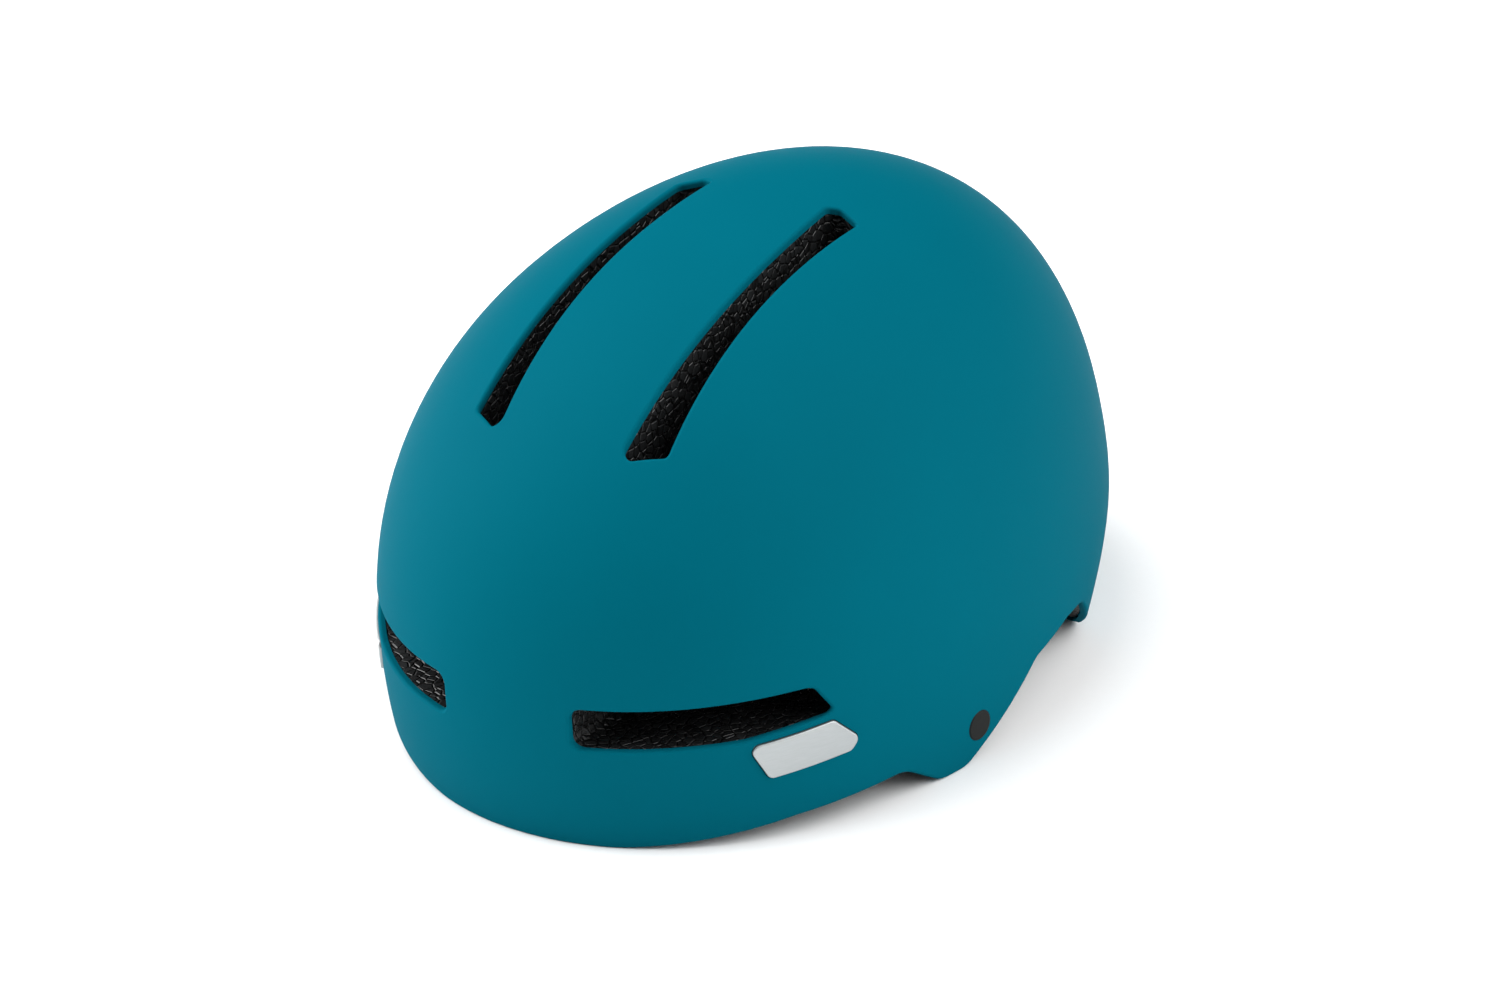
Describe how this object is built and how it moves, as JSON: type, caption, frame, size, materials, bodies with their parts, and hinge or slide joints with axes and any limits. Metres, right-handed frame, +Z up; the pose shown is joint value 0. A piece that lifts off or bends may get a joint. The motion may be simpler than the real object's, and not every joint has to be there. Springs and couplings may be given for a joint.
{
  "type": "cycling helmet",
  "caption": "Hard-shell urban cycling helmet with roof and forehead vents, foam liner, strap harness with snap buckle and a dial fit cradle.",
  "frame": {"origin": "on the floor, under the middle of the helmet", "axes": "+Z up, the forehead faces -Y, the wearer's left is +X"},
  "size_m": [0.2178, 0.2976, 0.1578],
  "materials": {
    "shell_teal": "matte soft-touch lacquer on ABS",
    "foam_black": "fused bead foam",
    "badge_satin": "satin silver",
    "plastic_black": "fine textured",
    "pad_fabric": "brushed knit over foam",
    "hook_fabric": "hook tape",
    "webbing": "flat woven polyester",
    "rubber_black": "soft moulded",
    "spring_steel": "plain"
  },
  "bodies": {
    "helmet": {"outer_shell": "shell_teal", "foam_liner": "foam_black", "badge_left": "badge_satin", "badge_right": "badge_satin", "rivet_left": "plastic_black", "rivet_right": "plastic_black", "rivet_washers": "plastic_black", "rear_anchor_left": "plastic_black", "rear_anchor_right": "plastic_black", "temple_pin_left": "plastic_black", "temple_pin_right": "plastic_black", "height_stud": "plastic_black", "divider_left": "plastic_black", "divider_right": "plastic_black", "buckle_socket": "plastic_black", "brow_pad": "pad_fabric", "crown_pad": "pad_fabric", "top_pad_left": "pad_fabric", "top_pad_right": "pad_fabric", "side_pad_left": "pad_fabric", "side_pad_right": "pad_fabric", "chin_pad": "pad_fabric", "hook_dots": "hook_fabric", "front_strap_left": "webbing", "front_strap_right": "webbing", "rear_strap_left": "webbing", "rear_strap_right": "webbing", "chin_strap_left": "webbing", "chin_strap_right": "webbing", "strap_ring": "rubber_black"},
    "cradle": {"cradle_housing": "plastic_black", "cradle_cover": "plastic_black", "cradle_pad": "pad_fabric", "height_ladder": "plastic_black", "detent_spring": "spring_steel"},
    "band_left": {"fit_band_left": "plastic_black"},
    "band_right": {"fit_band_right": "plastic_black"},
    "dial": {"dial_knob": "plastic_black", "dial_grip": "rubber_black", "pinion": "plastic_black", "dial_screw": "spring_steel"},
    "lever_left": {"divider_lever_left": "plastic_black"},
    "lever_right": {"divider_lever_right": "plastic_black"},
    "tongue": {"buckle_tongue": "plastic_black"}
  },
  "joints": [
    {"name": "fit_tilt", "type": "hinge", "parent": "helmet", "child": "cradle", "pos_m": [0, -0.034, 0.03], "axis": [1, 0, 0], "range_deg": [0, 5]},
    {"name": "dial_turn", "type": "hinge", "parent": "cradle", "child": "dial", "pos_m": [0, 0.099, 0.03], "axis": [0, 1, 0], "range_deg": [-90, 90]},
    {"name": "band_left_slide", "type": "hinge", "parent": "cradle", "child": "band_left", "pos_m": [-0.009, 0.0075, 0.03], "axis": [0, 0, 1], "range_deg": [-5.2, 5.2]},
    {"name": "band_right_slide", "type": "hinge", "parent": "cradle", "child": "band_right", "pos_m": [0.009, 0.0075, 0.03], "axis": [0, 0, 1], "range_deg": [-5.2, 5.2]},
    {"name": "lever_left_flip", "type": "hinge", "parent": "helmet", "child": "lever_left", "pos_m": [0.0659, 0.032, 0.01], "axis": [0, 0, -1], "range_deg": [0, 75]},
    {"name": "lever_right_flip", "type": "hinge", "parent": "helmet", "child": "lever_right", "pos_m": [-0.0659, 0.032, 0.01], "axis": [0, 0, 1], "range_deg": [0, 75]},
    {"name": "tongue_slide", "type": "slide", "parent": "helmet", "child": "tongue", "axis": [0, 0, 1], "range_m": [0, 0.022]}
  ],
  "couplings": [
    {"joint": "band_left_slide", "follows": "dial_turn", "ratio": -0.05647},
    {"joint": "band_right_slide", "follows": "dial_turn", "ratio": 0.05647}
  ]
}
